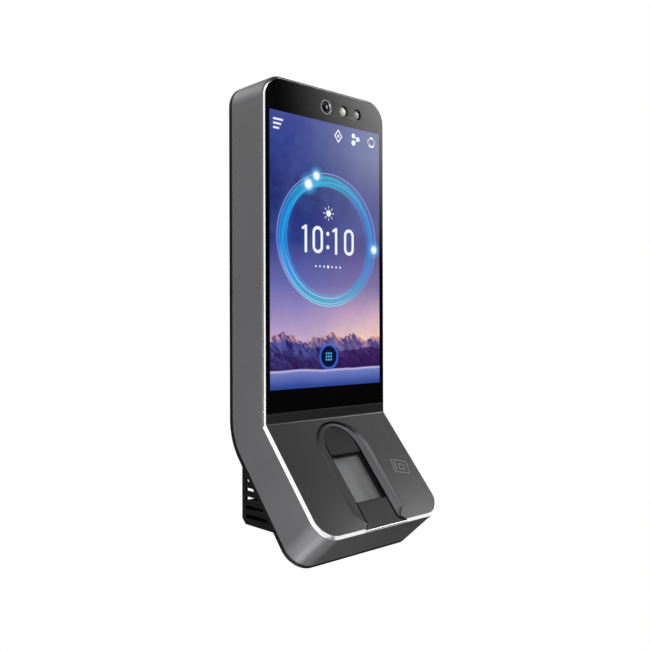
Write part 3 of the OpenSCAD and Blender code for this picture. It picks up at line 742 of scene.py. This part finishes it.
def build_panel():
    half, r = HALF_W - PANE_INSET, CORNER_R - PANE_INSET
    top, low, gap = GLASS_Z - 0.1 - BEND_Z, run_of_s(PANE_END_S), 0.04
    side = [PANE_END_S, 49.4, 48.4, 46.3, 44.2, 40.0, 30.0, 20.0]
    right = [(guide_edge(s) + gap, -run_of_s(s)) for s in side]
    crown = arc(0, -run_of_s(GUIDE_CENTRE_S), GUIDE_HALF + gap, 0, 180, 48)
    left = [(-x, y) for x, y in reversed(right)]
    outline = [(half, top), (-half, top)] + arc(-half + r, -low + r, r, 180, 270, 20)
    outline += list(reversed(left)) + list(reversed(crown)) + list(reversed(right))
    outline += arc(half - r, -low + r, r, 270, 360, 20)
    cuts = [-BEND_RUN * n / 12 for n in range(13)]
    bm = plate(outline, (), 1.2, 0.12, cuts)
    obj = place(bm, "lower_panel", lambda p: on_run(p.x, 0.1 - p.z, -p.y), smooth=35)
    add_normals(obj)
    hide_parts("lower_front_panel")
    return dress(obj, material("panel_metal"), "panel_metal")


def depth_below_slope(k):
    """Depth under the sloped face in millimetres, as a node value."""
    _, y, z = k.xyz()
    return (y + FRONT_Y) * math.cos(SLOPE) - (z - KINK_Z) * math.sin(SLOPE)


def guide_material():
    """Satin shoulders with painted light, painted shade on the left arm, a floor darkened with painted
    shade and black painted shade in the seams.
    """
    k = Kit("finger_guide_painted_light_and_shade")
    depth = depth_below_slope(k)
    grain = k.noise(12.0, detail=3.0, rough=0.6)
    cloud = k.noise(0.06, detail=3.0, rough=0.6)
    # painted light: the shoulders are a lighter copy of the same metal than the floor
    shoulder_light_and_shade = k.mix(k.fit(cloud, 0.3, 0.7), (0.095, 0.095, 0.099), (0.11, 0.11, 0.115))
    # painted shade: the left arm is darkened from x = 5.5 towards x = -7.5
    shoulder_light_and_shade = k.mix(k.fit(k.xyz()[0], -7.5, 5.5, smooth=True), (0.028, 0.028, 0.03), shoulder_light_and_shade)
    # painted shade: the channel floor is a darker copy of the same metal
    floor = k.mix(k.fit(cloud, 0.3, 0.7), (0.014, 0.014, 0.015), (0.019, 0.019, 0.02))
    # painted light on the shoulders gives way to painted shade on the floor as the depth grows
    tone = k.mix(k.fit(depth, 0.82, 0.94, smooth=True), shoulder_light_and_shade, floor)
    # painted shade: black where the groove and the seams are deepest
    deep_seam_shade = k.fit(depth, 1.15, 1.35)
    k.set(Base_Color=k.mix(deep_seam_shade, tone, (0.003, 0.003, 0.003)),
          Roughness=k.fit(grain, 0.3, 0.7, 0.3, 0.4) + deep_seam_shade * 0.4,
          Metallic=(1.0 - deep_seam_shade) * 0.5)
    k.shader.inputs["Specular IOR Level"].default_value = 0.3
    k.bump(grain, 0.0014)
    return k.material


def build_guide():
    """The scooped finger guide: rows up both sides, then round the arch."""
    profile = [  # share of the way in from the edge, depth at the sides, depth at the top
        (0.0, 0.22, 0.3), (0.01, 0.12, 0.16), (0.03, 0.12, 0.2), (0.06, 0.18, 1.1),
        (0.16, 0.33, 1.6), (0.30, 0.52, 1.65), (0.33, 0.55, 1.5), (0.40, 0.62, 0.84),
        (0.62, 0.72, 0.78), (0.80, 0.78, 0.78), (0.96, 0.81, 0.82), (1.0, 0.9, 0.92),
    ]
    deep = 3.1

    def across(outer, inner, s_out, s_in, lift, floor, open_row):
        """Half a row, from the edge in: points of (x, depth, s)."""
        row = [(outer, deep, s_out)]
        for w, side, top in profile:
            depth = side + (top - side) * lift
            row.append((outer + (inner - outer) * w, depth, s_out + (s_in - s_out) * w))
        if open_row:
            row += [(inner - 0.02, deep, s_in)] * 4
        else:
            slot = 0.95 * (1 - min(1, lift * 4))
            slot_in = max(0.0, 1 - 0.7 / max(inner, 0.7))
            floor_in = max(0.0, 1 - 0.8 / max(inner, 0.8))
            row += [(inner * 0.998, floor + slot, s_in), (inner * slot_in, floor + slot, s_in),
                    (inner * floor_in, floor, s_in),
                    (inner * 0.6, floor + 0.05 + 0.1 * lift, s_in)]
        return row

    lo_s, hi_s = READER_S
    rows = []
    for s in (PANE_END_S, 49.8, 49.1, 48.4, 47.4, 46.3, 45.2, 44.2, 42.5, 41.0, hi_s):
        floor = 1.05 - 0.08 * max(0, (s - 44) / 6.25)
        rows.append((across(guide_edge(s), channel_edge(s), s, s, 0, floor, False), False))
    for n in range(9):
        s = hi_s + (lo_s - hi_s) * n / 8
        rows.append((across(GUIDE_HALF, CHANNEL_HALF, s, s, 0, 0, True), True))
    for s in (lo_s, 16.2):
        rows.append((across(GUIDE_HALF, CHANNEL_HALF, s, s, 0, 1.1, False), False))
    steps = 28
    for n in range(steps + 1):
        a = math.pi / 2 * n / steps
        c, t = math.cos(a), math.sin(a)
        outer_s = GUIDE_CENTRE_S - GUIDE_HALF * t
        inner_s = GUIDE_CENTRE_S - (GUIDE_CENTRE_S - CHANNEL_TOP) * t
        row = across(GUIDE_HALF * c, CHANNEL_HALF * c, outer_s, inner_s, t ** 1.5, 1.1, False)
        rows.append((row, False))
    half = len(rows[0][0])
    verts, faces = [], []
    for row, _ in rows:
        verts += [on_slope(x, d, s) for x, d, s in row]
        verts += [on_slope(-x, d, s) for x, d, s in reversed(row)]
    width = 2 * half
    for i in range(len(rows) - 1):
        for j in range(width - 1):
            if j == half - 1 and rows[i][1] and rows[i + 1][1]:
                continue
            a = i * width + j
            faces.append((a, a + 1, a + 1 + width, a + width))
    faces.append(tuple(range(width)))
    mesh = welded("finger_channel", verts, faces, 2e-6, 1e-6)
    obj = add_normals(finish_piece("finger_channel", mesh, "terminal", 32))
    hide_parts("finger_guide")
    return dress(obj, guide_material(), "panel_metal")


def frame_plate(name, outer, inner, top, thick, bevel, slot, mat=None, node=None):
    """A rectangular frame on the slope, from half widths and s ranges."""
    def corners(half, s0, s1, r):
        return (arc(half - r, -s0 - r, r, 0, 90, 6) + arc(-half + r, -s0 - r, r, 90, 180, 6)
                + arc(-half + r, -s1 + r, r, 180, 270, 6) + arc(half - r, -s1 + r, r, 270, 360, 6))
    holes = [corners(*inner)] if inner else []
    bm = plate(corners(*outer), holes, thick, bevel)
    obj = place(bm, name, lambda p: on_slope(p.x, top - p.z, -p.y), smooth=35)
    add_normals(obj)
    if node:
        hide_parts(node)
    return dress(obj, mat or material(slot), slot)


def build_reader():
    s0, s1 = READER_S
    frame_plate("reader_bezel", (8.8, s0 + 0.1, s1 - 0.1, 0.3), (7.9, s0 + 0.5, s1 - 0.5, 0.5),
                1.7, 0.7, 0.12, "black_plastic", node="sensor_bezel")
    frame_plate("reader_bezel_step", (8.0, s0 + 0.4, s1 - 0.4, 0.5), (7.3, s0 + 0.8, s1 - 0.8, 0.6),
                2.05, 0.4, 0.08, "black_plastic")

    glass = Kit("reader_window_glass")
    haze = glass.noise(0.5, detail=3.0)
    glass.bump(haze, 0.0002)
    glass.set(Base_Color=glass.mix(glass.fit(haze, 0.3, 0.7), (0.86, 0.87, 0.88), (0.93, 0.93, 0.94)),
              Roughness=glass.fit(haze, 0.3, 0.7, 0.01, 0.04))
    glass.shader.inputs["Transmission Weight"].default_value = 1.0
    glass.shader.inputs["IOR"].default_value = 1.3
    frame_plate("reader_window", (8.05, s0 + 0.05, s1 - 0.05, 0.3), None, 2.5, 0.7, 0.1,
                "reader_glass", mat=glass.material, node="sensor_window")

    glow = Kit("reader_prism_glow")
    depth = depth_below_slope(glow)
    cloud = glow.noise(0.35, detail=3.0)
    level = glow.fit(depth, 4.0, 6.1, 0.045, 0.1)
    tone = glow.mix(glow.fit(cloud, 0.3, 0.7), (0.90, 0.90, 0.92), (1.0, 1.0, 1.0))
    lit = glow.mix(1.0, tone, glow.join(level, level, level), mode="MULTIPLY")
    glow.set(Base_Color=lit, Roughness=glow.fit(cloud, 0.3, 0.7, 0.3, 0.4))
    glow.feed(glow.shader.inputs["Emission Color"], lit)
    glow.shader.inputs["Emission Strength"].default_value = 0.72
    rings = []
    for half, lo, hi, depth_mm in ((8.0, s0 + 0.1, s1 - 0.1, 9.4), (8.0, s0 + 0.1, s1 - 0.1, 3.35),
                                   (7.5, s0 + 0.6, s1 - 0.6, 3.35), (7.3, s0 + 0.8, s1 - 0.8, 3.55),
                                   (7.2, s0 + 0.9, s1 - 0.9, 6.0), (7.0, s0 + 1.1, s1 - 1.1, 6.2)):
        rings.append([on_slope(x, depth_mm, s) for x, s in
                      ((-half, lo), (half, lo), (half, hi), (-half, hi))])
    verts, faces = sweep(rings, closed_path=False, caps=True)
    prism = add_normals(piece("reader_prism", verts, faces, smooth=30))
    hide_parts("sensor_prism")
    dress(prism, glow.material, "reader_glass")


def build_camera():
    ring = lathe("camera_bezel", [(3.15, 1.15), (3.15, 0.16), (3.12, 0.06), (3.0, -0.0), (2.8, 0.02),
                                  (2.6, 0.14), (2.42, 0.4), (2.32, 0.75), (2.3, 1.15), (3.15, 1.15)],
                 CAMERA, smooth=50)
    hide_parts("camera_ring")
    dress(ring, material("ring_metal"), "ring_metal")
    lens = lathe("camera_eye", [(2.29, 1.2), (2.29, 0.86), (2.05, 0.82), (2.0, 0.95), (1.75, 0.95),
                                (1.7, 0.78), (1.5, 0.66), (1.1, 0.54), (0.6, 0.47), (0.0, 0.45)],
                 CAMERA, smooth=50)
    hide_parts("camera_lens")
    dress(lens, material("lens_glass"), "lens_glass")
    for x, name, node, slot in ((LAMP_X[0], "status_lamp", "status_led", "lamp"),
                                (LAMP_X[1], "infrared_lamp", "infrared_led", "grey_lamp")):
        lamp = lathe(name, [(0.0, 2.4), (2.2, 2.4), (2.2, 1.2), (2.12, 0.98), (1.9, 0.78),
                            (1.55, 0.62), (1.1, 0.52), (0.95, 0.56), (0.7, 0.5), (0.0, 0.46)],
                     (x, CAMERA[1]), smooth=40)
        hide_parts(node)
        dress(lamp, material(slot), slot)


def build_symbol():
    """A plain card outline beside the reader, where a card is held."""
    centre, tilt = Vector((24.4, 27.6)), math.radians(-16)

    def strip(name, outer, inner):
        def turned(points):
            out = []
            for x, y in points:
                out.append((centre.x + x * math.cos(tilt) - y * math.sin(tilt),
                            -centre.y + x * math.sin(tilt) + y * math.cos(tilt)))
            return out

        def corners(x0, x1, y0, y1, r):
            return (arc(x1 - r, y1 - r, r, 0, 90, 5) + arc(x0 + r, y1 - r, r, 90, 180, 5)
                    + arc(x0 + r, y0 + r, r, 180, 270, 5) + arc(x1 - r, y0 + r, r, 270, 360, 5))
        holes = [turned(corners(*inner))] if inner else []
        bm = plate(turned(corners(*outer)), holes, 0.05, 0.015)
        obj = place(bm, name, lambda p: on_slope(p.x, 0.075 - p.z, -p.y), smooth=35)
        return dress(obj, mark, "panel_metal")

    mark = finish("symbol_ink", colour=(0.2, 0.2, 0.205), metal=0.2, rough=0.5, grain=14)
    strip("card_symbol", (-4.4, 4.4, -3.2, 3.2, 1.0), (-3.95, 3.95, -2.75, 2.75, 0.6))
    strip("card_symbol_stripe", (-3.1, -2.3, -2.1, 2.1, 0.2), None)
    strip("card_symbol_chip", (-0.9, 2.2, -1.5, 1.5, 0.4), (-0.45, 1.75, -1.05, 1.05, 0.2))


build_housing()
build_trim()
build_glass()
build_panel()
build_guide()
build_reader()
build_camera()
build_symbol()

# ---- the CAD nodes that stay: softened edges and a finish each ----

FINE = {"lcd_ribbon", "sensor_ribbon", "rear_gasket", "glass_tape", "rfid_coil"}
LARGE = {"rear_cover", "vent_cover", "wall_bracket"}
LARGE_EDGE, SMALL_EDGE = 0.25, 0.08
for node_name, obj in nodes.items():
    if obj.name not in bpy.context.scene.objects or obj.hide_render:
        continue
    slot = obj.data.materials[0].name.split(".")[0]
    obj.data.materials.clear()
    obj.data.materials.append(material(slot))
    if node_name not in FINE:
        soften(obj, LARGE_EDGE if node_name in LARGE else SMALL_EDGE)


# ---- studio ----

def build_floor():
    k = Kit("studio_floor")
    soft = k.noise(0.004, detail=2.0)
    k.set(Base_Color=k.mix(k.fit(soft, 0.3, 0.7), (0.86, 0.86, 0.86), (0.9, 0.9, 0.9)),
          Roughness=0.9)
    k.feed(k.shader.inputs["Emission Color"], k.mix(soft, (1.0, 1.0, 1.0), (0.99, 0.99, 0.99)))
    k.shader.inputs["Emission Strength"].default_value = 0.55
    bpy.ops.mesh.primitive_circle_add(vertices=96, radius=0.62, fill_type="NGON",
                                      location=(0, 0, -0.42))
    floor = bpy.context.object
    floor.name = "studio_floor"
    floor.data.materials.append(k.material)
    floor.visible_diffuse = floor.visible_glossy = floor.visible_transmission = False


def build_world():
    world = bpy.data.worlds.new("studio")
    bpy.context.scene.world = world
    world.use_nodes = True
    tree = world.node_tree
    tree.nodes.clear()
    coord = tree.nodes.new("ShaderNodeTexCoord")
    split = tree.nodes.new("ShaderNodeSeparateXYZ")
    tree.links.new(coord.outputs["Generated"], split.inputs[0])
    tall = tree.nodes.new("ShaderNodeMapRange")
    tall.inputs["From Min"].default_value, tall.inputs["From Max"].default_value = -0.7, 1.0
    tall.inputs["To Min"].default_value, tall.inputs["To Max"].default_value = 0.0, 0.03
    tree.links.new(split.outputs["Z"], tall.inputs["Value"])
    path = tree.nodes.new("ShaderNodeLightPath")
    seen = tree.nodes.new("ShaderNodeBackground")
    seen.inputs["Color"].default_value = (1, 1, 1, 1)
    seen.inputs["Strength"].default_value = 1.0
    fill_light = tree.nodes.new("ShaderNodeBackground")
    tree.links.new(tall.outputs["Result"], fill_light.inputs["Strength"])
    mix = tree.nodes.new("ShaderNodeMixShader")
    out = tree.nodes.new("ShaderNodeOutputWorld")
    tree.links.new(path.outputs["Is Camera Ray"], mix.inputs[0])
    tree.links.new(fill_light.outputs[0], mix.inputs[1])
    tree.links.new(seen.outputs[0], mix.inputs[2])
    tree.links.new(mix.outputs[0], out.inputs[0])


def softbox(name, azimuth, elevation, distance, width, height, power, aim=(0, -0.02, 0)):
    a, e = math.radians(azimuth), math.radians(elevation)
    back = Vector((math.sin(a) * math.cos(e), -math.cos(a) * math.cos(e), math.sin(e)))
    light = bpy.data.lights.new(name, "AREA")
    light.shape, light.size, light.size_y, light.energy = "RECTANGLE", width, height, power
    lamp = bpy.data.objects.new(name, light)
    bpy.context.scene.collection.objects.link(lamp)
    lamp.location = Vector(aim) + back * distance
    lamp.rotation_mode = "QUATERNION"
    lamp.rotation_quaternion = (-back).to_track_quat("-Z", "Y")


def fade(lamp):
    """Dims a softbox towards its foot and its left, seen from behind it."""
    lamp.data.use_nodes = True
    tree = lamp.data.node_tree
    spot = tree.nodes.new("ShaderNodeNewGeometry")
    split = tree.nodes.new("ShaderNodeSeparateXYZ")
    tree.links.new(spot.outputs["Parametric"], split.inputs[0])
    parts = []
    for socket in (split.outputs["X"], split.outputs["Y"]):
        step = tree.nodes.new("ShaderNodeMapRange")
        step.interpolation_type = "SMOOTHSTEP"
        tree.links.new(socket, step.inputs["Value"])
        parts.append(step)
    level = tree.nodes.new("ShaderNodeMath")
    level.operation = "MULTIPLY"
    for socket, step in zip(level.inputs, parts):
        tree.links.new(step.outputs["Result"], socket)
    tree.links.new(level.outputs[0], tree.nodes["Emission"].inputs["Strength"])


SHOT_YAW, SHOT_ROLL = 42.524, -0.167  # degrees
SHOT_FROM = (-218.9, -259.66, -6.12)
SHOT_LENS = 42.67


def build_camera_view():
    """A level view from the left of the front."""
    yaw, roll = math.radians(SHOT_YAW), math.radians(SHOT_ROLL)
    forward = Vector((math.sin(yaw), math.cos(yaw), 0))
    side = Vector((math.cos(yaw), -math.sin(yaw), 0))
    up = Vector((0, 0, 1))
    right = side * math.cos(roll) + up * math.sin(roll)
    top = up * math.cos(roll) - side * math.sin(roll)
    data = bpy.data.cameras.new("camera")
    data.lens, data.sensor_width, data.clip_start = SHOT_LENS, 36, 0.01
    cam = bpy.data.objects.new("camera", data)
    bpy.context.scene.collection.objects.link(cam)
    turn = Matrix((right, top, -forward)).transposed()
    cam.matrix_world = Matrix.Translation(Vector(SHOT_FROM) * MM) @ turn.to_4x4()
    bpy.context.scene.camera = cam


build_floor()
build_world()
LIGHTS = [  # name, azimuth, elevation, distance, width, height, power
    ("camera_side", -45, 0, 0.8, 0.42, 0.92, 1.4),
    ("left_low", -85, -28, 0.8, 0.4, 0.4, 11.0),
    ("under_left", -105, -70, 0.8, 0.3, 0.3, 2.3),
    ("under_mid", 70, -74, 0.8, 0.3, 0.3, 0.55),
    ("left_high", -68, 45, 0.8, 0.4, 0.54, 0.95),
    ("left_back", -165, 40, 0.8, 0.4, 0.4, 1.3),
    ("right_strip", 50, 19, 0.8, 0.34, 0.4, 6.5),
    ("right_side", 71, 31, 0.8, 0.2, 0.3, 0.2),
    ("guide_light", 28, 57, 0.8, 0.3, 0.3, 1.0),
    ("right_top", 90, 50, 0.8, 0.4, 0.4, 0.6),
    ("high_front", -20, 62, 0.8, 0.6, 0.4, 0.8),
    ("right_foot", 40, -24, 0.8, 0.6, 0.18, 0.38),
    ("left_foot", -6, -9, 0.8, 0.76, 0.3, 0.72),
    ("right_low", 80, -16, 0.8, 0.56, 0.22, 0.5),
    ("far_right", 114, 4, 0.9, 0.6, 0.8, 4.0),
    ("back_fill", 172, 20, 1.0, 0.7, 0.7, 2.6),
]
for light in LIGHTS:
    softbox(*light)
fade(bpy.data.objects["right_strip"])  # or its edge shows in the cover glass
build_camera_view()

scene = bpy.context.scene
scene.view_settings.view_transform = "Standard"
scene.view_settings.look = "None"
scene.view_settings.exposure = 0.0
scene.view_settings.gamma = 1.0
